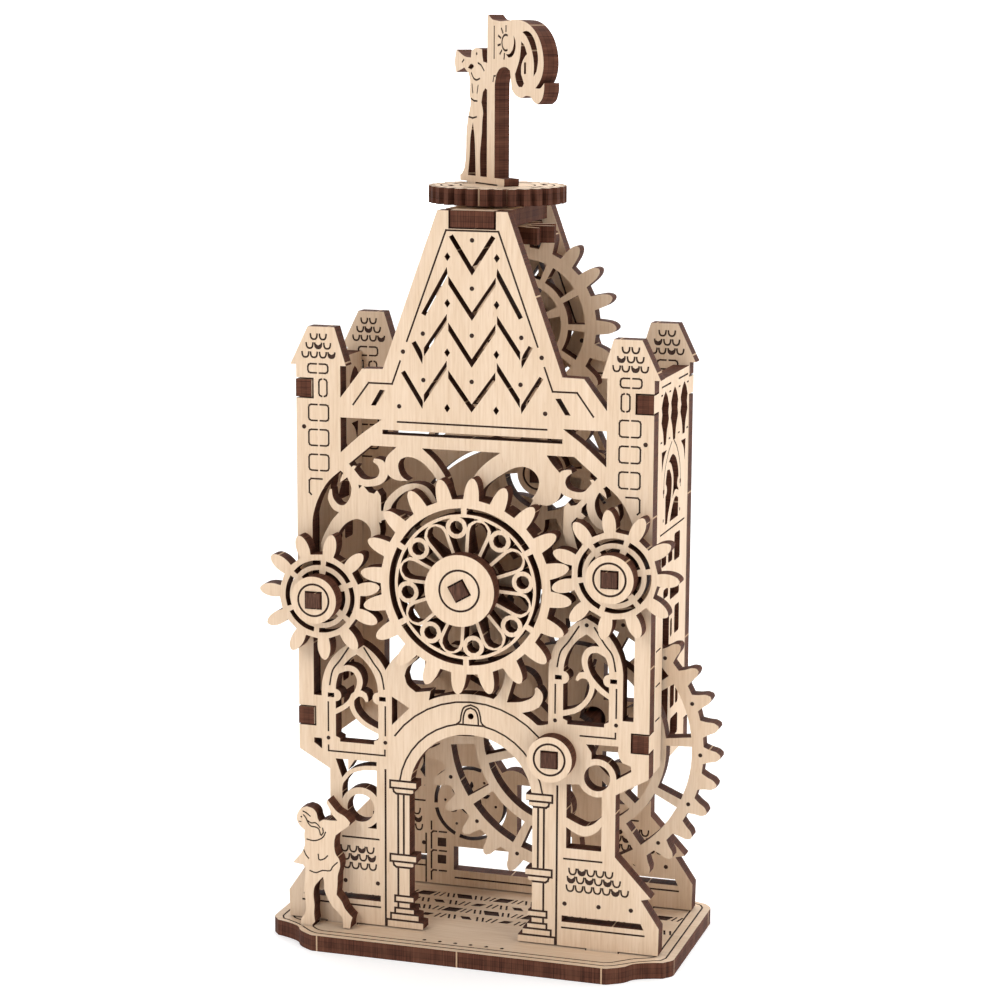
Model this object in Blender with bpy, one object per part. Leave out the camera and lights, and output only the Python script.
"""Gothic clock tower of laser-cut plywood: flat plates, square axles and petal-toothed gears.

Every plate is drawn flat in millimetres and extruded to the plywood's thickness. The upright
panels share one drawing grid: x from the middle of the facade, height from GRID_ZERO above the
underside of the base, and depth from the front face of the facade, growing towards the back.
"""

import math

import bmesh
import bpy
from mathutils import Matrix, Vector
from mathutils.geometry import delaunay_2d_cdt

MM = 0.001
PLY = 3.3
GAP = 0.3
GRID_ZERO = 2.0
DEPTH_ZERO = 15.95
X_ZERO = 2.55

# Depths of the layers, front face of each plate.
CAP_DEPTH = -7.5
GEAR_DEPTH = -3.9
BACK_DEPTH = 28.6
DRIVE_DEPTH = 10.5
UPPER_DEPTH = 24.3
BEHIND_BACK = BACK_DEPTH + PLY + GAP
BEHIND_FRONT = PLY + GAP

# Heights of the level plates, underside of each.
BASE_FLOOR = -2.0
PANEL_FOOT = 1.6
DECK_FLOOR = 143.8
CROWN_FLOOR = 147.7
PINION_FLOOR = 140.0

# Gear centres on the grid, tooth counts and first tip angles in degrees.
MODULE = 1.8327
ROSE = (0.0, 74.1)
LEFT = (-30.3, 70.1)
RIGHT = (30.1, 78.4)
DRIVE = (17.4, 40.8)
UPPER = (2.7, 122.7)
ROSE_TEETH = 20
SIDE_TEETH = 11
DRIVE_TEETH = 32
SMALL_TEETH = 9
IDLER_TEETH = 13
UPPER_TEETH = 20
CROWN_TEETH = 30
BEVEL_TEETH = 12
ROSE_TIP = 14.0
LEFT_TIP = 12.5
RIGHT_TIP = 31.2
DRIVE_TIP = 313.8
UPPER_TIP = 17.7
BEVEL_MESH = 75.0

AXLE = 3.0
BEARING = 2.6
STROKE = 0.95
POLE_SIDE = 1.5
FLAG_REACH = 0.84


# ---------------------------------------------------------------- flat outlines

def arc(centre, radius, start, end, step=15.0):
    """Points on a circle from one angle in degrees to another."""
    count = max(2, round(abs(end - start) / step))
    angles = [math.radians(start + (end - start) * i / count) for i in range(count + 1)]
    return [(centre[0] + radius * math.cos(a), centre[1] + radius * math.sin(a)) for a in angles]


def disc(centre, radius, sides=24):
    return arc(centre, radius, 0, 360, 360 / sides)[:-1]


def box(x0, x1, z0, z1):
    return [(x0, z0), (x1, z0), (x1, z1), (x0, z1)]


def mirrored(points):
    return [(-x, z) for x, z in reversed(points)]


def turned(points, degrees, centre=(0.0, 0.0)):
    c = math.cos(math.radians(degrees))
    s = math.sin(math.radians(degrees))
    return [(centre[0] + c * x - s * z, centre[1] + s * x + c * z) for x, z in points]


def square(centre, side, degrees=0.0):
    half = side / 2
    return turned(box(-half, half, -half, half), degrees, centre)


def sector(centre, inner, outer, start, end, step=12.0):
    return arc(centre, outer, start, end, step) + arc(centre, inner, end, start, step)


def pointed_arch(x0, x1, bottom, spring, apex, steps=6):
    """A gothic opening: straight jambs, then two arcs that meet at the apex."""
    half = (x1 - x0) / 2
    rise = apex - spring
    radius = (half * half + rise * rise) / (2 * half)
    top = math.degrees(math.asin(rise / radius))
    right = arc((x1 - radius, spring), radius, 0, top, top / steps)
    left = arc((x0 + radius, spring), radius, 180 - top, 180, top / steps)
    return [(x0, bottom), (x1, bottom)] + right + left[1:]


def smooth(points, pieces=3):
    """A Catmull-Rom curve through points of any dimension."""
    ends = [points[0]] + list(points) + [points[-1]]
    curve = []
    for a, b, c, d in zip(ends, ends[1:], ends[2:], ends[3:]):
        for i in range(pieces):
            t = i / pieces
            curve.append(tuple(
                0.5 * (2 * q + (r - p) * t + (2 * p - 5 * q + 4 * r - s) * t ** 2
                       + (3 * q - p - 3 * r + s) * t ** 3)
                for p, q, r, s in zip(a, b, c, d)))
    return curve + [tuple(points[-1])]


def ribbon(points, pieces=2):
    """A scroll as short quads and a round tip; each point is (x, z, width)."""
    line = smooth(points, pieces)
    sides = []
    for i, (x, z, width) in enumerate(line):
        before = line[max(i - 1, 0)]
        after = line[min(i + 1, len(line) - 1)]
        along = Vector((after[0] - before[0], after[1] - before[1])).normalized() * (width / 2)
        sides.append(((x - along.y, z + along.x), (x + along.y, z - along.x)))
    quads = [[a[1], b[1], b[0], a[0]] for a, b in zip(sides, sides[1:])]
    tips = [disc(p[:2], p[2] / 2, 8) for p in (line[0], line[-1]) if p[2] > 0.7]
    return quads + tips


def add(*shapes):
    return [(True, shape) for shape in shapes]


def cut(*shapes):
    return [(False, shape) for shape in shapes]


def both(shapes):
    """The shapes and their mirror images about the middle line."""
    return list(shapes) + [mirrored(shape) for shape in shapes]


# ---------------------------------------------------------------- flat region to solid

def area(points):
    return sum(a[0] * b[1] - b[0] * a[1] for a, b in zip(points, points[1:] + points[:1])) / 2


def triangulate(shapes):
    """Triangles of the plane cut along every outline, each with the shapes that cover it."""
    points = []
    faces = []
    for shape in shapes:
        ring = shape if area(shape) > 0 else list(reversed(shape))
        faces.append(list(range(len(points), len(points) + len(ring))))
        points += [Vector(p) for p in ring]
    found = delaunay_2d_cdt(points, [], faces, 0, 1e-5, True)
    return found[0], found[2], found[5]


def outline_loops(corners, kept):
    """Closed loops round the kept triangles, material on the left of each edge."""
    edges = {(face[i], face[(i + 1) % 3]) for face in kept for i in range(3)}
    rim = {}
    for a, b in edges:
        if (b, a) not in edges:
            rim.setdefault(a, []).append(b)
    loops = []
    while rim:
        start = next(iter(rim))
        loop = [start]
        here = start
        while True:
            options = rim[here]
            there = options.pop()
            if not options:
                del rim[here]
            if there == start:
                break
            loop.append(there)
            here = there
        loops.append([tuple(corners[i]) for i in loop])
    return loops


def simplified(loop, tolerance=0.045):
    """The loop without points that lie on the line between their neighbours."""
    kept = list(loop)
    changed = True
    while changed and len(kept) > 3:
        changed = False
        for i in range(len(kept) - 1, -1, -1):
            a, b, c = kept[i - 1], kept[i], kept[(i + 1) % len(kept)]
            across = Vector((c[0] - a[0], c[1] - a[1]))
            if across.length < 1e-6:
                continue
            offset = abs(across.x * (b[1] - a[1]) - across.y * (b[0] - a[0])) / across.length
            if offset < tolerance and across.length < 9 or offset < 1e-4:
                del kept[i]
                changed = True
    return kept


def region(steps):
    """Loops of the region that the steps leave: each adds or cuts a shape, the last one wins."""
    corners, faces, covers = triangulate([shape for _, shape in steps])
    kept = [face for face, cover in zip(faces, covers) if cover and steps[max(cover)][0]]
    return [simplified(loop) for loop in outline_loops(corners, kept)]


def plate_mesh(name, steps, thickness=PLY):
    """A closed mesh of the region, from z = 0 to the thickness, in metres."""
    corners, faces, covers = triangulate(region(steps))
    kept = [face for face, cover in zip(faces, covers) if len(cover) % 2]
    used = sorted({i for face in kept for i in face})
    mesh = bpy.data.meshes.new(name)
    build = bmesh.new()
    low = {i: build.verts.new((corners[i].x * MM, corners[i].y * MM, 0)) for i in used}
    high = {i: build.verts.new((corners[i].x * MM, corners[i].y * MM, thickness * MM)) for i in used}
    edges = {(face[i], face[(i + 1) % 3]) for face in kept for i in range(3)}
    for face in kept:
        build.faces.new([high[i] for i in face])
        build.faces.new([low[i] for i in reversed(face)])
    for a, b in edges:
        if (b, a) not in edges:
            build.faces.new([low[a], low[b], high[b], high[a]])
    build.to_mesh(mesh)
    build.free()
    mesh.shade_smooth()
    mesh.set_sharp_from_angle(angle=math.radians(32))
    return mesh


# ---------------------------------------------------------------- objects

UPRIGHT = Matrix(((1, 0, 0), (0, 0, -1), (0, 1, 0))).to_4x4()
SIDEWAYS = Matrix(((0, 0, 1), (1, 0, 0), (0, 1, 0))).to_4x4()


def grid(x, depth, height):
    """World position in metres of a point of the drawing grid."""
    return Vector((x - X_ZERO, depth - DEPTH_ZERO, height + GRID_ZERO)) * MM


def plywood(name, colour):
    material = bpy.data.materials.new(name)
    material.use_nodes = True
    shader = material.node_tree.nodes["Principled BSDF"]
    shader.inputs["Base Color"].default_value = (*colour, 1.0)
    shader.inputs["Roughness"].default_value = 0.7
    shader.inputs["Metallic"].default_value = 0.0
    return material


def place(name, mesh, matrix, colour, parent=None):
    mesh.materials.append(plywood(name + "_wood", colour))
    thing = bpy.data.objects.new(name, mesh)
    bpy.context.scene.collection.objects.link(thing)
    thing.matrix_world = matrix
    if parent:
        thing.parent = parent
        thing.matrix_parent_inverse = parent.matrix_world.inverted()
    return thing


BIRCH = (0.80, 0.63, 0.43)
BURNT = (0.16, 0.075, 0.04)


def upright(name, steps, depth, centre=(0.0, 0.0), thickness=PLY, colour=BIRCH, parent=None):
    """A plate parallel to the facade, drawn about the centre, with its front face at the depth."""
    matrix = Matrix.Translation(grid(centre[0], depth + thickness, centre[1])) @ UPRIGHT
    return place(name, plate_mesh(name, steps, thickness), matrix, colour, parent)


def level(name, steps, floor, centre=(0.0, DEPTH_ZERO), thickness=PLY, colour=BIRCH, parent=None):
    """A plate parallel to the ground, drawn in x and depth about the centre."""
    matrix = Matrix.Translation(grid(centre[0], centre[1], floor))
    return place(name, plate_mesh(name, steps, thickness), matrix, colour, parent)


def pivot(name, centre, depth):
    """An empty on a joint axis."""
    empty = bpy.data.objects.new(name, None)
    empty.empty_display_size = 0.005
    empty.location = grid(centre[0], depth, centre[1])
    bpy.context.scene.collection.objects.link(empty)
    bpy.context.view_layer.update()
    return empty


# ---------------------------------------------------------------- gears and axles

def gear_rim(teeth, first_tip, profile):
    """A gear outline. The profile lists (radius, half width) up one flank to the tip."""
    rim = []
    for tooth in range(teeth):
        middle = first_tip + 360 * tooth / teeth
        right = [(r, -w) for r, w in profile]
        left = [(r, w) for r, w in reversed(profile)]
        flank = right + (left[1:] if profile[-1][1] == 0 else left)
        rim += turned(flank, middle)
    return rim


ROSE_PROFILE = [(17.4, 1.6), (19.6, 1.34), (21.1, 0.8), (21.65, 0.25)]
SIDE_PROFILE = [(8.5, 1.15), (9.8, 1.34), (11.3, 1.2), (12.4, 0.72), (12.85, 0.2)]
DRIVE_PROFILE = [(27.5, 1.75), (28.8, 1.28), (30.2, 0.92), (30.95, 0.3)]
SMALL_PROFILE = [(6.2, 1.0), (7.9, 1.2), (9.2, 0.8), (9.75, 0.25)]
IDLER_PROFILE = [(9.9, 1.2), (11.5, 1.25), (12.9, 0.8), (13.5, 0.25)]
UPPER_PROFILE = [(15.5, 1.45), (17.2, 1.3), (18.4, 1.1), (19.3, 0.68), (19.7, 0.2)]
BEVEL_PROFILE = [(6.6, 0.9), (8.2, 0.75), (10.6, 0.7), (11.8, 0.35)]
CROWN_PROFILE = [(12.3, 0.95), (13.6, 0.65)]


def spoke(inner, outer, width, angle):
    """A straight bar along a radius."""
    return turned(box(inner, outer, -width / 2, width / 2), angle)


def petal(grow):
    """A teardrop along +x, grown or shrunk by a margin."""
    flank = [(5.5, 1.05), (9.0, 1.68), (11.0, 2.1), (12.3, 2.0), (13.2, 1.2)]
    tip = [(13.7 + grow, 0.0)]
    return [(r, -w - grow) for r, w in flank] + tip + [(r, w + grow) for r, w in reversed(flank)]


def rose_gear(parent):
    steps = add(gear_rim(ROSE_TEETH, ROSE_TIP, ROSE_PROFILE))
    for i in range(6):
        start = 33.2 + 60 * i
        steps += cut(sector((0, 0), 14.5, 15.7, start, start + 55.6, 11))
    steps += cut(sector((0, 0), 5.6, 13.9, 0, 180, 12), sector((0, 0), 5.6, 13.9, 180, 360, 12))
    for i in range(8):
        middle = 31 + 45 * i
        steps += add(turned(petal(0.4), middle))
        steps += add(disc(turned([(11.9, 0.0)], middle + 22.5)[0], 2.2, 12))
    for i in range(8):
        middle = 31 + 45 * i
        steps += cut(turned(petal(-0.3), middle))
        steps += cut(disc(turned([(11.9, 0.0)], middle + 22.5)[0], 1.35, 10))
    steps += add(disc((0, 0), 6.0, 32))
    steps += cut(square((0, 0), AXLE + 2 * GAP, 30))
    upright("rose_gear", steps, GEAR_DEPTH, ROSE, parent=parent)


def side_gear(name, centre, first_tip, spokes, parent):
    steps = add(gear_rim(SIDE_TEETH, first_tip, SIDE_PROFILE))
    for i in range(6):
        start = spokes + 60 * i
        steps += cut(sector((0, 0), 6.4, 7.35, start + 4.5, start + 55.5, 13))
        steps += cut(sector((0, 0), 4.5, 5.4, start + 7.5, start + 52.5, 15))
    steps += cut(square((0, 0), AXLE + 2 * GAP))
    upright(name, steps, GEAR_DEPTH, centre, parent=parent)


def drive_wheel(parent):
    steps = add(gear_rim(DRIVE_TEETH, DRIVE_TIP, DRIVE_PROFILE))
    half_spoke = 0.85
    for i in range(12):
        start = 4.5 + 30 * i
        outer = math.degrees(half_spoke / 22.6)
        steps += cut(sector((0, 0), 20.0, 25.2, start + outer, start + 30 - outer, 9))
    steps += cut(sector((0, 0), 5.4, 18.1, 0, 180, 12), sector((0, 0), 5.4, 18.1, 180, 360, 12))
    for i in range(3):
        eye = turned([(14.6, 0.0)], 17 + 120 * i)[0]
        steps += add(spoke(5.0, 18.6, 1.7, 77 + 120 * i))
        steps += add(spoke(5.0, 12.0, 1.7, 17 + 120 * i))
        steps += add(disc(eye, 4.1, 24))
        steps += cut(disc(eye, 2.9, 20))
    steps += add(disc((0, 0), 5.4, 24))
    steps += cut(square((0, 0), AXLE + 2 * GAP))
    upright("drive_wheel", steps, DRIVE_DEPTH, DRIVE, parent=parent)


def plain_gear(name, teeth, first_tip, profile, centre, depth, parent, angle=0.0):
    steps = add(gear_rim(teeth, first_tip, profile))
    steps += cut(square((0, 0), AXLE + 2 * GAP, angle))
    upright(name, steps, depth, centre, parent=parent)


def upper_gear(parent):
    steps = add(gear_rim(UPPER_TEETH, UPPER_TIP, UPPER_PROFILE))
    for i in range(11):
        start = 358.5 + 360 / 11 * i
        steps += cut(sector((0, 0), 9.7, 13.2, start + 3.3, start + 360 / 11 - 3.3, 9))
    for i in range(4):
        start = 20 + 90 * i
        steps += cut(sector((0, 0), 4.9, 8.2, start + 7, start + 83, 13))
    steps += cut(square((0, 0), AXLE + 2 * GAP))
    upright("upper_gear", steps, UPPER_DEPTH, UPPER, parent=parent)


def idler_gear(first_tip, centre, parent):
    steps = add(gear_rim(IDLER_TEETH, first_tip, IDLER_PROFILE))
    steps += cut(*[sector((0, 0), 4.9, 8.2, start, start + 76, 13) for start in (187, 277, 7, 97)])
    steps += cut(square((0, 0), AXLE + 2 * GAP))
    upright("idler_gear", steps, UPPER_DEPTH, centre, parent=parent)


def cap(name, centre, depth, radius, parent, angle=0.0):
    steps = add(disc((0, 0), radius, 40 if radius > 6 else 28))
    steps += cut(square((0, 0), AXLE + 2 * GAP, angle))
    upright(name, steps, depth, centre, parent=parent)


def axle(name, centre, front, back, parent, angle=0.0):
    """A square bar along the depth, from the front end to the back end."""
    steps = add(square((0, 0), AXLE, angle))
    upright(name, steps, front, centre, back - front, BURNT, parent)


def idler_centre():
    """Where two pitch circles of the idler's reach cross, on the right of the tower."""
    near = MODULE * (SMALL_TEETH + IDLER_TEETH) / 2
    far = MODULE * (IDLER_TEETH + UPPER_TEETH) / 2
    across = Vector(UPPER) - Vector(ROSE)
    along = (near ** 2 - far ** 2 + across.length_squared) / (2 * across.length)
    aside = math.sqrt(near ** 2 - along ** 2)
    unit = across.normalized()
    spot = Vector(ROSE) + unit * along + Vector((unit.y, -unit.x)) * aside
    return spot.x, spot.y


def meshing_tip(from_centre, to_centre, from_tip, from_teeth, to_teeth):
    """The tip angle that puts a gap of the second gear where the first gear's tooth lies."""
    bearing = math.degrees(math.atan2(to_centre[1] - from_centre[1], to_centre[0] - from_centre[0]))
    past = (from_tip - bearing) % (360 / from_teeth)
    return bearing + 180 - past * from_teeth / to_teeth + 180 / to_teeth


# ---------------------------------------------------------------- facade

def tower_side():
    """Right half of the silhouette of both tower panels, from the foot up to the deck's notch."""
    return [
        (38.9, PANEL_FOOT), (39.0, 7.2), (35.3, 12.7), (37.3, 13.2), (29.9, 21.0), (29.9, 33.7),
        (36.5, 37.4), (36.5, 42.4), (32.8, 42.4), (32.8, 46.5), (36.5, 46.5),
        (36.5, 109.2), (32.8, 109.2), (32.8, 113.3), (36.5, 113.3), (36.5, 115.9), (37.7, 115.9),
        (34.0, 123.5), (28.4, 123.5), (26.0, 115.9), (27.2, 115.9), (27.2, 109.6),
        (22.6, 115.6), (18.3, 115.7), (7.1, 147.0), (4.8, 147.0), (4.8, 143.5),
    ]


def silhouette(inner_foot):
    """The closed outline of a tower panel; inner_foot is the doorway's right edge, from the foot up."""
    right = inner_foot[::-1] + tower_side()
    return right + mirrored(right)


def doorway():
    """Edge of the columns and the round arch, from the foot up to the crown of the arch."""
    column = [
        (10.0, PANEL_FOOT), (10.0, 3.0), (11.0, 3.1), (11.0, 4.5), (12.0, 4.6), (12.0, 5.7), (12.9, 5.7),
        (12.9, 7.0), (12.1, 7.0), (12.1, 8.3), (12.9, 8.3), (12.9, 14.3), (12.1, 14.7),
        (12.1, 15.4), (11.5, 15.4), (11.5, 17.0), (12.9, 17.0), (12.9, 29.7), (12.1, 30.1),
        (12.1, 30.9), (11.5, 30.9), (11.5, 32.4), (12.7, 32.4),
    ]
    return column + arc((0, 30.4), 12.9, 9, 90, 9)


def stroke(upper, lower, square_end):
    """One bar of a zigzag: ends cut upright, or its upper end cut square."""
    dx = lower[0] - upper[0]
    dz = lower[1] - upper[1]
    length = math.hypot(dx, dz)
    rise = STROKE / 2 * length / abs(dx)
    tip = [(upper[0], upper[1] - rise), (upper[0], upper[1] + rise)]
    if square_end:
        across = (-dz / length * STROKE / 2, dx / length * STROKE / 2)
        tip = [(upper[0] + across[0], upper[1] + across[1]), (upper[0] - across[0], upper[1] - across[1])]
        tip.sort(key=lambda point: point[1])
    return tip + [(lower[0], lower[1] + rise), (lower[0], lower[1] - rise)]


def chevrons():
    """Zigzag slots of the roof: (upper end, lower end, is the upper end cut square)."""
    strokes = [
        ((4.3, 142.2), (0.0, 135.5), True),
        ((9.9, 126.7), (5.1, 135.2), True), ((4.8, 133.6), (0.0, 126.7), False),
        ((11.9, 121.3), (10.1, 118.0), True), ((9.8, 119.4), (5.1, 126.2), False),
        ((4.8, 124.6), (0.0, 117.6), False),
        ((14.1, 115.4), (10.1, 109.1), True), ((9.8, 110.2), (5.1, 117.1), False),
        ((4.8, 115.3), (0.0, 108.8), False),
    ]
    return both([stroke(*each) for each in strokes])


def upper_scrolls():
    """Scrollwork between the band and the rose: shapes that repeat on both sides."""
    hook = ribbon([(25.2, 95.0, 1.8), (23.2, 93.1, 1.5), (21.0, 92.9, 1.4), (19.0, 93.6, 1.6),
                   (18.1, 95.3, 1.9), (18.8, 96.9, 1.6), (20.3, 97.5, 0.7)])
    stem = ribbon([(26.9, 96.3, 2.4), (25.1, 94.4, 2.0), (24.2, 91.8, 1.6), (24.6, 89.2, 1.7),
                   (26.2, 87.4, 1.6), (28.2, 87.6, 1.5), (29.4, 89.4, 1.1), (29.3, 91.2, 0.4)])
    tongue = [(23.9, 96.1), (24.5, 96.2), (25.8, 95.3), (25.0, 94.5)]
    spur = [(27.4, 92.6), (26.9, 94.2), (25.9, 95.2), (25.3, 94.2)]
    return hook + stem + [tongue, spur]


def scroll_leaf():
    """A ribbon-like leaf that joins the scrolls to the arcs below."""
    return [(18.7, 85.0), (20.3, 85.4), (20.4, 87.5), (21.4, 88.6), (22.4, 88.2), (23.2, 88.9),
            (22.3, 89.6), (22.4, 90.5), (23.4, 91.6), (22.6, 92.4), (21.3, 91.0), (20.2, 90.8),
            (19.6, 91.5), (18.8, 90.4)]


def left_scrolls():
    """The scroll that hangs from the band on the left, with its bands and the hood over the side gear."""
    scroll = [(-15.8, 101.0), (-15.5, 100.4), (-16.6, 99.3), (-17.6, 98.2), (-17.9, 97.0), (-17.8, 95.7),
              (-17.2, 94.7), (-16.2, 94.0), (-14.8, 93.7), (-13.1, 93.8), (-14.2, 94.4), (-14.8, 95.2),
              (-15.1, 96.2), (-15.1, 97.1), (-14.6, 98.0), (-13.5, 98.5), (-11.8, 98.4), (-10.0, 97.5),
              (-8.4, 96.0), (-7.2, 94.4), (-6.4, 92.4), (-6.1, 90.0), (-4.3, 90.0), (-4.5, 92.3),
              (-5.3, 94.9), (-6.4, 96.6), (-7.7, 98.2), (-9.0, 99.4), (-10.2, 100.4), (-10.2, 101.0)]
    band = ribbon([(-17.6, 86.8, 1.5), (-17.2, 88.9, 1.5), (-15.6, 90.9, 1.4), (-13.6, 92.3, 1.3),
                   (-11.4, 92.8, 1.1), (-9.4, 92.3, 1.0), (-7.9, 90.4, 1.0), (-7.4, 88.6, 1.0)])
    hood = ribbon([(-30.5, 79.5, 2.2), (-28.9, 82.9, 2.4), (-26.8, 85.6, 2.6), (-23.8, 86.9, 2.8),
                   (-21.0, 85.7, 2.6), (-19.9, 83.2, 2.0), (-20.3, 81.2, 1.6)])
    link = ribbon([(-20.8, 85.8, 2.6), (-18.0, 86.6, 1.8), (-13.0, 85.8, 2.2)])
    return [scroll] + band + hood + link


def right_scrolls():
    """The larger scroll on the right, round its open eye, and the arm to the side gear's hub."""
    scroll = [(5.8, 101.0), (5.8, 100.3), (3.8, 98.9), (1.9, 97.2), (0.5, 95.3), (-0.3, 92.8), (-0.5, 90.0),
              (1.7, 90.0), (2.0, 92.0), (3.0, 93.6), (4.9, 95.2), (6.8, 96.5), (8.6, 97.5), (10.4, 97.9),
              (11.9, 97.6), (13.0, 96.8), (13.7, 95.6), (13.7, 94.2), (13.2, 92.9), (12.3, 91.7),
              (13.4, 90.8), (15.0, 90.5), (16.5, 90.9), (17.6, 91.8), (18.2, 93.1), (18.4, 95.0),
              (18.0, 97.0), (17.3, 97.8), (16.3, 98.9), (15.3, 100.3), (15.3, 101.0)]
    arm = ribbon([(13.6, 91.6, 1.6), (12.2, 89.3, 1.5), (10.3, 87.2, 1.8), (8.6, 85.0, 2.2)])
    hood = ribbon([(19.6, 86.6, 1.6), (20.2, 83.6, 2.0), (21.4, 80.5, 2.2), (25.0, 78.6, 2.2),
                   (30.0, 78.4, 3.0)])
    return [scroll] + arm + hood


def bearing_frame():
    """Hub and ring behind the rose gear, and hubs behind the side gears, with their arms."""
    steps = add(disc(ROSE, 17.2, 28))
    steps += cut(disc(ROSE, 15.8, 24))
    steps += add(*[turned(box(0, 16.6, -1.3, 1.3), 53.5 + 45 * i, ROSE) for i in range(8)])
    steps += add(disc(ROSE, 6.2, 16), disc(LEFT, 4.6, 14), disc(RIGHT, 4.6, 14))
    steps += add(*ribbon([(-34.5, 70.1, 4.0), (-30.0, 70.1, 4.0)]))
    steps += add(*ribbon([(34.5, 78.4, 4.0), (30.0, 78.4, 4.0)]))
    steps += add(*ribbon([(-30.3, 70.1, 3.0), (-30.4, 75.0, 2.0), (-30.5, 80.0, 2.0)]))
    return steps


def window(x0, x1, sill, spring, apex, frame_apex):
    """A pointed window with its frame: (frame, opening, capital bumps)."""
    frame = pointed_arch(x0 - 3.0, x1 + 2.8, sill - 4.0, spring, frame_apex, 7)
    opening = pointed_arch(x0, x1, sill + 1.1, spring, apex, 6)[2:]
    floor = [(x0, sill + 1.1), (x0 + 0.9, sill + 0.7), (x0 + 0.9, sill), (x1 - 0.9, sill),
             (x1 - 0.9, sill + 0.7), (x1, sill + 1.1)]
    bumps = [disc((x0 - 0.1, spring - 0.9), 1.3, 12), disc((x1 + 0.1, spring - 0.9), 1.3, 12)]
    return frame, floor + opening, bumps


def lattice():
    """The pierced middle of the facade, from the band down to the windows and the arch."""
    edge = [(33.3, 84.0), (32.8, 87.0), (31.4, 90.4), (29.6, 93.0), (27.1, 95.2), (25.6, 96.4),
            (20.8, 100.4)]
    right = [(12.0, 46.5), (14.4, 46.5), (16.5, 47.0), (16.5, 48.8), (33.3, 48.8)] + edge
    left = [(-17.3, 43.9), (-17.3, 48.8), (-33.3, 48.8)] + [(-x, z) for x, z in edge]
    steps = cut(right + left[::-1])
    steps += add(sector((0, 30.4), 13.6, 21.2, 35, 145, 7))
    steps += add([(-17.9, 43.0), (-9.0, 48.5), (-8.4, 51.6), (-11.5, 51.1), (-13.3, 52.5), (-13.9, 54.3),
                  (-13.3, 56.0), (-12.2, 57.0), (-11.0, 58.4), (-9.8, 62.0), (-12.5, 62.0),
                  (-14.5, 59.4), (-16.4, 57.4), (-17.9, 55.2)])
    steps += add(*ribbon([(5.8, 50.0, 3.0), (7.0, 52.5, 1.9), (8.0, 56.0, 1.8), (8.4, 60.0, 1.8)]))
    steps += add(*ribbon([(7.5, 49.3, 2.6), (10.8, 49.9, 2.2), (13.3, 51.0, 2.4), (14.0, 52.8, 1.6),
                          (13.4, 54.0, 0.5)]))
    steps += bearing_frame()
    steps += add(*left_scrolls(), *right_scrolls())
    steps += add(*both(upper_scrolls()))
    steps += add(*both([scroll_leaf()]))
    return steps


def window_tracery():
    right = ribbon([(18.5, 49.3, 1.1), (21.6, 50.2, 1.1), (24.0, 52.5, 1.0), (24.9, 55.2, 1.1),
                    (24.2, 57.1, 1.4), (22.6, 57.3, 1.3), (21.7, 56.2, 0.5)])
    right += ribbon([(29.0, 53.0, 1.0), (26.5, 54.7, 1.1), (24.2, 57.3, 1.1), (23.3, 60.2, 1.2),
                     (24.1, 62.2, 1.3), (26.0, 62.7, 1.4), (28.0, 61.8, 1.6)])
    left = ribbon([(-29.0, 45.5, 1.0), (-26.5, 47.0, 1.0), (-24.3, 49.6, 1.1), (-23.4, 52.3, 1.2),
                   (-24.3, 54.4, 1.2), (-26.1, 54.9, 1.2), (-27.9, 54.2, 1.2)])
    left += ribbon([(-19.2, 42.2, 1.0), (-22.5, 43.7, 1.0), (-24.7, 46.0, 1.0), (-25.2, 48.4, 1.2),
                    (-23.9, 49.8, 1.3), (-22.4, 49.5, 1.2), (-21.9, 48.2, 0.5)])
    return left + right


def lower_openings():
    """Rings, crescents and slots beside the columns."""
    steps = cut([(-28.7, 35.9), (-27.2, 31.8), (-26.0, 33.5), (-26.0, 35.9)])
    steps += cut([(-33.3, 39.9), (-33.3, 38.9), (-31.6, 37.7), (-31.6, 39.9)])
    steps += cut([(-19.9, 21.9), (-19.9, 35.9), (-24.6, 35.9), (-26.2, 33.4), (-27.1, 31.2),
                  (-27.3, 27.3), (-23.0, 26.0), (-21.8, 21.9)])
    steps += add(*ribbon([(-27.6, 30.8, 0.9), (-25.6, 33.3, 0.9), (-22.6, 34.4, 0.9), (-19.5, 34.6, 0.9)]))
    steps += add(disc((-23.3, 26.0), 4.3, 28))
    steps += cut(disc((-23.3, 26.0), 2.9, 24))
    steps += cut([(23.8, 43.5), (24.9, 41.9), (24.9, 39.5), (26.0, 38.0), (29.5, 36.4), (30.2, 37.0),
                  (33.0, 38.7), (32.9, 39.8), (31.2, 40.3), (30.4, 41.6), (30.3, 43.6)])
    steps += cut([(19.9, 21.9), (27.1, 21.9), (27.1, 33.2), (25.5, 34.6), (22.5, 35.2), (19.9, 35.0)])
    steps += add(*ribbon([(19.3, 27.6, 1.6), (21.5, 26.4, 2.0), (23.6, 25.7, 2.1), (25.8, 26.6, 1.7),
                          (27.6, 28.8, 1.0)]))
    steps += add(disc((26.1, 36.8), 3.9, 28))
    steps += cut(disc((26.1, 36.8), 2.65, 24))
    steps += cut(*both([[(19.1, 6.6), (35.9, 6.6), (35.3, 7.9), (19.1, 7.9)]]))
    return steps


def panel_feet():
    """Tabs that drop into the slots of the base."""
    return both([box(24.3, 30.7, -1.2, PANEL_FOOT + 0.5)])


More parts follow.
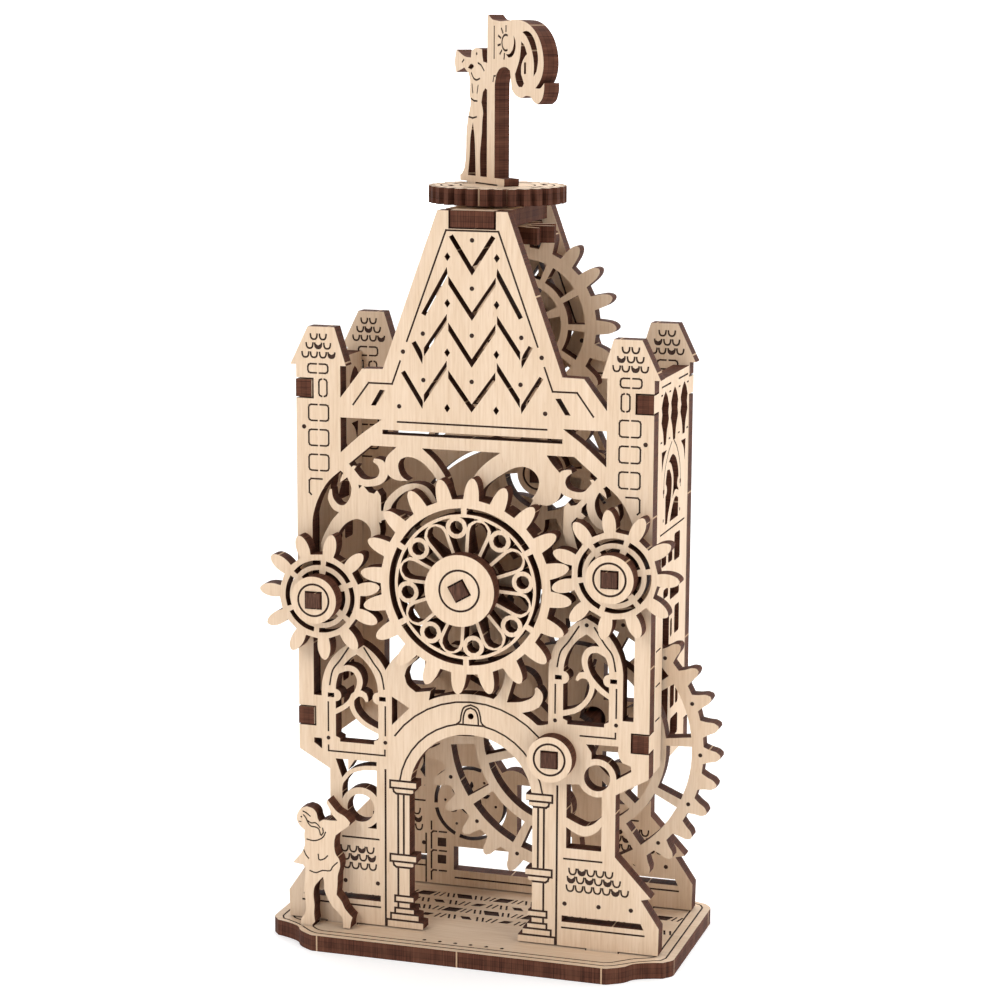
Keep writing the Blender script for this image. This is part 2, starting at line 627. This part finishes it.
def front_panel():
    steps = add(silhouette(doorway()[:-1]))
    steps += cut(*chevrons())
    steps += cut([(-18.9, 111.6), (-17.8, 111.5), (-19.8, 108.4), (-20.8, 108.4)])
    steps += cut([(18.0, 111.6), (16.9, 111.5), (18.9, 108.4), (20.0, 108.4)])
    steps += cut(box(-18.4, 18.4, 102.8, 103.7))
    steps += cut(*both([[(27.2, 105.7), (18.5, 105.7), (22.8, 102.6), (27.2, 98.7)]]))
    steps += lattice()
    for place_and_size in ((-28.6, -19.5, 39.5, 50.0, 57.9, 60.6), (19.0, 28.3, 47.2, 57.5, 65.6, 68.8)):
        frame, opening, bumps = window(*place_and_size)
        steps += add(frame)
        steps += cut(opening)
        steps += add(*bumps)
    steps += add(*window_tracery())
    steps += cut([(-16.6, 43.9), (-12.9, 47.7), (-16.6, 49.8)])
    steps += lower_openings()
    for centre in (ROSE, LEFT, RIGHT, DRIVE):
        steps += cut(disc(centre, BEARING, 12))
    steps += add(*panel_feet())
    upright("front_panel", steps, 0.0)


# ---------------------------------------------------------------- other panels

def back_panel():
    steps = add(silhouette([]))
    steps += cut(box(-13.0, 13.0, 5.0, 10.2))
    steps += cut(sector((0, 24.0), 4.0, 13.0, -55, 125, 12))
    steps += cut(box(1.0, 13.0, 5.0, 25.0))
    steps += add(disc((-9.3, 20.0), 9.6, 36))
    steps += cut(*[sector((-9.3, 20.0), 7.3, 8.1, 12 + 60 * i, 64 + 60 * i, 13) for i in range(6)])
    steps += cut(*both([box(19.4, 27.0, 23.0, 34.0)]))
    steps += add(*both([turned(box(-6.5, 6.5, -1.0, 1.0), 55, (23.2, 28.5))]))
    steps += add(disc((23.2, 28.5), 3.4, 20), disc((-23.2, 28.5), 3.4, 20))
    for x0 in (-28.5, 19.5):
        steps += cut(pointed_arch(x0, x0 + 9.0, 45.0, 55.0, 63.0, 6))
        steps += add(*ribbon([(x0 - 0.4, 47.0, 1.1), (x0 + 3.0, 49.0, 1.1), (x0 + 5.2, 52.5, 1.1),
                              (x0 + 9.4, 55.0, 1.1)]))
    steps += cut(*both([[(13.2, 101.4), (13.2, 100.6), (19.4, 94.4), (26.4, 94.4), (26.4, 101.4)]]))
    steps += add(*both([[(16.0, 101.6), (18.9, 95.0), (20.3, 95.0), (17.2, 101.6)]]))
    steps += cut(sector(ROSE, 12.8, 19.4, 46, 97, 9))
    steps += cut(*[sector(ROSE, 22.4, 23.1, start, start + 34, 9) for start in (32, 70, 108)])
    steps += cut(sector(ROSE, 9.0, 20.0, -66, -24, 10))
    steps += cut(*chevrons()[:4])
    for x in (-11.0, 11.0):
        steps += cut(pointed_arch(x - 2.4, x + 2.4, 105.5, 110.0, 114.0, 4))
    steps += cut(*both([[(19.1, 6.6), (35.9, 6.6), (35.3, 7.9), (19.1, 7.9)]]))
    for centre in (ROSE, DRIVE, UPPER, idler_centre()):
        steps += add(disc(centre, 4.2, 20))
        steps += cut(disc(centre, BEARING, 12))
    steps += add(*panel_feet())
    upright("back_panel", steps, BACK_DEPTH)


def lancet(y):
    """A cusped narrow window."""
    right = [(y + 0.9, 102.2), (y + 1.5, 104.6), (y + 3.0, 106.9), (y + 2.4, 108.4), (y + 2.9, 109.8),
             (y + 1.6, 111.6)]
    left = [(2 * y - a, b) for a, b in reversed(right)]
    return right + [(y, 112.7)] + left


def side_panel(name, x, gear_height, wheel_slot):
    """A wall between the panels, drawn in depth and height."""
    front = PLY + GAP
    back = BACK_DEPTH - GAP
    steps = add(box(front, back, 37.6, 115.3))
    for low in (42.7, 109.5):
        steps += add(box(-0.2, BACK_DEPTH + PLY + 0.2, low, low + 3.5))
    for y in (8.8, 16.3, 24.2):
        steps += cut(lancet(y))
    steps += cut([(6.5, 101.0), (6.8, 97.0), (8.3, 99.6), (10.4, 101.0)])
    steps += cut([(22.2, 101.0), (24.4, 99.4), (25.6, 96.6), (26.0, 101.0)])
    steps += cut(pointed_arch(10.0, 20.6, 86.2, 93.5, 99.4, 5))
    steps += add(disc((9.9, 93.0), 1.2, 10), disc((20.7, 93.0), 1.2, 10))
    steps += add(*ribbon([(9.6, 97.5, 1.6), (13.2, 97.4, 1.4), (15.6, 94.6, 1.4), (15.0, 90.6, 1.3),
                          (12.9, 87.6, 1.2), (12.4, 85.8, 1.6)], 2))
    steps += add(*ribbon([(12.9, 86.2, 1.4), (15.3, 89.4, 1.3), (18.2, 91.2, 1.3), (21.0, 90.4, 1.4)], 2))
    bricks = [(7.5, 11.5, 78.0, 80.5), (13.0, 16.5, 78.0, 80.5), (18.0, 22.6, 77.5, 83.0),
              (9.5, 13.5, 71.4, 73.2), (15.0, 22.5, 70.2, 73.0), (15.6, 17.0, 62.5, 66.2),
              (19.0, 22.8, 62.5, 68.2), (16.4, 19.8, 47.6, 52.4), (20.8, 23.0, 47.6, 51.0),
              (16.8, 23.0, 41.2, 45.4)]
    for y0, y1, z0, z1 in bricks:
        steps += cut([(y0 + 0.4, z0), (y1 - 0.4, z0), (y1, z0 + 0.4), (y1, z1 - 0.4), (y1 - 0.4, z1),
                      (y0 + 0.4, z1), (y0, z1 - 0.4), (y0, z0 + 0.4)])
    steps += cut(box(front - 1.0, BEHIND_FRONT + PLY + GAP, gear_height - 4.0, gear_height + 4.0))
    if wheel_slot:
        steps += cut(box(9.4, 14.6, 36.0, 68.6))
    matrix = Matrix.Translation(grid(x, 0.0, 0.0)) @ SIDEWAYS
    place(name, plate_mesh(name, steps), matrix, BIRCH)


def base_outline():
    """Half of the base, in x and depth from the middle: ogee corners."""
    return [(42.2, -15.9), (40.6, -18.4), (38.0, -19.3), (35.2, -20.9), (33.9, -22.9), (31.7, -24.5),
            (30.4, -25.1)]


def base_plate():
    corner = base_outline()
    right = corner[::-1] + [(x, -y) for x, y in corner]
    steps = add(right + [(-x, y) for x, y in reversed(right)])
    for y in (0.0, BACK_DEPTH):
        steps += cut(*both([box(24.0, 31.0, y - GAP - DEPTH_ZERO, y + PLY + GAP - DEPTH_ZERO)]))
    figure_slot = box(-35.2, -32.2, GEAR_DEPTH - GAP - DEPTH_ZERO, GEAR_DEPTH + PLY + GAP - DEPTH_ZERO)
    steps += cut(figure_slot)
    level("base_plate", steps, BASE_FLOOR)


def top_deck():
    half = BACK_DEPTH / 2 - PLY / 2 - GAP
    steps = add(box(-6.6, 6.6, -half, half))
    steps += add(box(-4.4, 4.4, -DEPTH_ZERO - 0.2, DEPTH_ZERO + 0.2))
    steps += cut(disc((0.1, 0.0), BEARING, 16))
    level("top_deck", steps, DECK_FLOOR)


# ---------------------------------------------------------------- figures and flag

# Middle and half width of the two tabs that hold the flag's plate in the crown gear.
FLAG_TABS = [(4.1, 1.3), (-7.8, 1.6)]


def dancer():
    """The figure in a short tunic at the foot of the facade, one arm raised."""
    points = [
        (-29.0, 28.3), (-29.3, 27.6), (-28.7, 26.6), (-28.1, 25.4), (-26.9, 24.1), (-28.6, 24.0),
        (-30.0, 24.0), (-30.8, 23.5), (-31.2, 24.3), (-31.4, 25.3), (-32.1, 26.1), (-33.5, 26.5),
        (-34.8, 26.0), (-35.5, 24.9), (-35.7, 23.8), (-35.4, 22.8), (-34.7, 22.0), (-34.0, 21.5),
        (-34.1, 20.3), (-34.0, 18.6), (-34.4, 17.2), (-35.1, 16.3), (-36.6, 14.4), (-34.4, 14.1),
        (-33.9, 13.4), (-34.1, 10.6), (-34.2, 8.5), (-33.9, 6.0), (-34.0, 4.0), (-34.9, 2.6),
        (-34.9, PANEL_FOOT), (-32.5, PANEL_FOOT), (-31.9, 2.2), (-32.1, 4.0), (-32.0, 5.8), (-32.2, 8.2),
        (-31.9, 9.8), (-31.0, 11.0), (-30.1, 12.0), (-29.9, 10.8), (-29.8, 9.2), (-29.0, 7.6),
        (-28.2, 6.0), (-27.0, 4.9), (-25.9, 3.6), (-25.8, PANEL_FOOT), (-24.3, PANEL_FOOT), (-24.1, 3.0),
        (-23.8, 4.0), (-24.7, 4.9), (-25.5, 5.9), (-26.0, 7.0), (-27.2, 8.5), (-27.0, 10.5),
        (-26.9, 12.6), (-26.4, 14.5), (-26.6, 16.0), (-27.3, 17.0), (-27.6, 18.2), (-27.6, 19.8),
        (-27.3, 21.0), (-26.0, 22.0), (-24.4, 23.3), (-24.2, 24.0), (-25.3, 25.1), (-27.0, 26.0),
        (-28.2, 27.3),
    ]
    steps = add(points) + add(box(-34.9, -32.5, -1.2, PANEL_FOOT + 0.6))
    upright("dancer_figure", steps, GEAR_DEPTH)


def herald():
    """The standing herald with a horn, left of the pole, in the flag's own plane."""
    return [
        (-1.0, 174.6), (-3.1, 174.9), (-3.5, 176.2), (-3.6, 177.3), (-6.4, 177.5), (-8.0, 176.9),
        (-8.2, 175.6), (-10.8, 175.8), (-14.3, 177.1), (-15.0, 174.7), (-14.4, 172.6), (-11.0, 173.6),
        (-9.2, 172.6), (-8.6, 171.2), (-8.7, 168.4), (-8.3, 166.8), (-9.3, 164.0), (-10.0, 161.0),
        (-10.2, 157.0), (-11.0, 153.6), (-12.6, 152.0), (-12.6, 151.3), (1.6, 151.3), (1.6, 171.0),
    ]


def flag_holes():
    beside_pole = [(-2.2, 169.8), (-1.5, 169.5), (-1.5, 152.5), (-4.2, 152.5), (-4.3, 157.0), (-3.6, 161.0),
                   (-3.4, 163.5), (-3.1, 165.0), (-3.8, 167.0), (-3.2, 169.0)]
    legs = [(-7.3, 163.0), (-8.3, 160.0), (-8.6, 156.5), (-9.3, 152.5), (-6.1, 152.5), (-6.3, 156.5),
            (-6.6, 160.0)]
    sun = [(10.4, 180.1), (11.2, 179.2), (11.4, 178.0), (10.8, 176.8), (9.4, 176.0), (8.0, 175.9),
           (6.9, 176.5), (8.6, 176.6), (10.0, 177.4), (10.6, 178.7)]
    curl = [(14.0, 179.0), (15.4, 178.3), (16.7, 176.7), (15.2, 175.8), (14.1, 174.5), (14.0, 172.8),
            (15.4, 171.1), (14.5, 170.4), (13.0, 170.4), (11.8, 171.3), (11.2, 172.8), (12.1, 174.1),
            (13.2, 175.6), (13.7, 177.2)]
    crescent = [(14.5, 180.8), (16.6, 181.0), (19.0, 180.2), (20.9, 178.2), (21.7, 175.6), (21.1, 173.5),
                (19.7, 172.5), (19.9, 174.5), (19.3, 176.6), (18.0, 178.5), (16.4, 179.9)]
    return [beside_pole, legs, sun, curl, crescent]


def reached(points):
    """Points right of the pole drawn in to the flag's reach."""
    return [(POLE_SIDE + (s - POLE_SIDE) * FLAG_REACH if s > POLE_SIDE else s, z) for s, z in points]


def flag_and_herald(parent, heading):
    cloth = [
        (-1.5, 170.0), (1.5, 170.0), (2.4, 172.6), (4.0, 173.7), (7.0, 174.0), (8.8, 173.4), (9.3, 171.6),
        (9.7, 169.8), (11.0, 169.0), (14.0, 168.3), (16.4, 168.8), (18.4, 168.7), (19.8, 167.8),
        (21.6, 167.3), (23.5, 168.2), (24.5, 169.8), (24.6, 171.4), (22.9, 170.4), (20.6, 170.3),
        (22.9, 171.9), (24.0, 173.6), (24.2, 175.6), (23.4, 178.0), (21.2, 180.4), (17.6, 182.2),
        (13.5, 183.0), (1.0, 183.0), (-1.1, 184.0), (-1.5, 183.6),
    ]
    tabs = [box(s - half, s + half, 148.0, 152.0) for s, half in FLAG_TABS]
    foot = box(-12.6, 5.6, 151.3, 152.5)
    holes = [reached(hole) for hole in flag_holes()]
    steps = add(herald()) + add(reached(cloth), foot, *tabs) + cut(*holes)
    turn = Matrix.Rotation(math.radians(heading), 4, "Z")
    middle = Matrix.Translation((0, PLY / 2 * MM, 0))
    matrix = Matrix.Translation(grid(0.1, DEPTH_ZERO, 0.0)) @ turn @ middle @ UPRIGHT
    place("flag_and_herald", plate_mesh("flag_and_herald", steps), matrix, BIRCH, parent)


def crown_gear(parent, heading):
    steps = add(gear_rim(CROWN_TEETH, 0.0, CROWN_PROFILE))
    for i in range(8):
        steps += cut(sector((0, 0), 8.9, 9.9, 45 * i + 16, 45 * i + 40, 12))
    for s, half in FLAG_TABS:
        slot = box(s - half - GAP, s + half + GAP, -PLY / 2 - GAP, PLY / 2 + GAP)
        steps += cut(turned(slot, heading))
    steps += cut(square((0, 0), AXLE + 2 * GAP, heading))
    level("crown_gear", steps, CROWN_FLOOR, (0.1, DEPTH_ZERO), parent=parent)


def crown_group(heading):
    parent = pivot("crown_axis", (0.1, CROWN_FLOOR), DEPTH_ZERO)
    crown_gear(parent, heading)
    steps = add(gear_rim(BEVEL_TEETH, BEVEL_MESH + 180 / BEVEL_TEETH, BEVEL_PROFILE))
    steps += cut(square((0, 0), AXLE + 2 * GAP, heading))
    level("crown_pinion", steps, PINION_FLOOR, (0.1, DEPTH_ZERO), parent=parent)
    ring = add(disc((0, 0), 4.6, 28)) + cut(square((0, 0), AXLE + 2 * GAP, heading))
    level("crown_retainer", ring, PINION_FLOOR - PLY - GAP, (0.1, DEPTH_ZERO), parent=parent)
    bar = add(square((0, 0), AXLE, heading))
    floor = PINION_FLOOR - PLY - 2 * GAP
    level("crown_axle", bar, floor, (0.1, DEPTH_ZERO), 151.0 - floor, BURNT, parent)
    flag_and_herald(parent, heading)


# ---------------------------------------------------------------- assembly

def clear_scene():
    for thing in list(bpy.data.objects):
        bpy.data.objects.remove(thing, do_unlink=True)


def rose_group():
    parent = pivot("rose_axis", ROSE, GEAR_DEPTH)
    rose_gear(parent)
    cap("rose_cap", ROSE, CAP_DEPTH, 7.1, parent, 30)
    bearing = meshing_tip(DRIVE, ROSE, DRIVE_TIP, DRIVE_TEETH, SMALL_TEETH)
    plain_gear("rose_drive_pinion", SMALL_TEETH, bearing, SMALL_PROFILE, ROSE, DRIVE_DEPTH, parent, 30)
    idler_tip = meshing_tip(UPPER, idler_centre(), UPPER_TIP, UPPER_TEETH, IDLER_TEETH)
    upper_mesh = meshing_tip(idler_centre(), ROSE, idler_tip, IDLER_TEETH, SMALL_TEETH)
    plain_gear("rose_upper_pinion", SMALL_TEETH, upper_mesh, SMALL_PROFILE, ROSE, UPPER_DEPTH, parent, 30)
    cap("rose_back_cap", ROSE, BEHIND_BACK, 4.75, parent, 30)
    axle("rose_axle", ROSE, CAP_DEPTH - 0.5, BEHIND_BACK + PLY + 0.5, parent, 30)


def side_groups():
    for side, centre, tip, spokes in (("left", LEFT, LEFT_TIP, 23.5), ("right", RIGHT, RIGHT_TIP, 10.5)):
        parent = pivot(side + "_axis", centre, GEAR_DEPTH)
        side_gear(side + "_gear", centre, tip, spokes, parent)
        cap(side + "_cap", centre, CAP_DEPTH, 4.75, parent)
        cap(side + "_retainer", centre, BEHIND_FRONT, 3.6, parent)
        axle(side + "_axle", centre, CAP_DEPTH - 0.5, BEHIND_FRONT + PLY + 0.5, parent)


def drive_group():
    parent = pivot("drive_axis", DRIVE, DRIVE_DEPTH)
    drive_wheel(parent)
    cap("drive_cap", DRIVE, GEAR_DEPTH, 4.6, parent)
    cap("drive_back_cap", DRIVE, BEHIND_BACK, 4.6, parent)
    axle("drive_axle", DRIVE, GEAR_DEPTH - 0.5, BEHIND_BACK + PLY + 0.5, parent)


def upper_groups():
    centre = idler_centre()
    idler_tip = meshing_tip(UPPER, centre, UPPER_TIP, UPPER_TEETH, IDLER_TEETH)
    idler = pivot("idler_axis", centre, UPPER_DEPTH)
    idler_gear(idler_tip, centre, idler)
    upper = pivot("upper_axis", UPPER, UPPER_DEPTH)
    upper_gear(upper)
    for name, spot, parent in (("idler", centre, idler), ("upper", UPPER, upper)):
        cap(name + "_cap", spot, UPPER_DEPTH - PLY - GAP, 4.4, parent)
        cap(name + "_back_cap", spot, BEHIND_BACK, 4.4, parent)
        axle(name + "_axle", spot, UPPER_DEPTH - PLY - GAP - 0.5, BEHIND_BACK + PLY + 0.5, parent)


def main():
    clear_scene()
    base_plate()
    front_panel()
    back_panel()
    side_panel("left_side_panel", -36.5, LEFT[1], False)
    side_panel("right_side_panel", 33.2, RIGHT[1], True)
    top_deck()
    dancer()
    drive_group()
    rose_group()
    side_groups()
    upper_groups()
    crown_group(-43.6)


main()
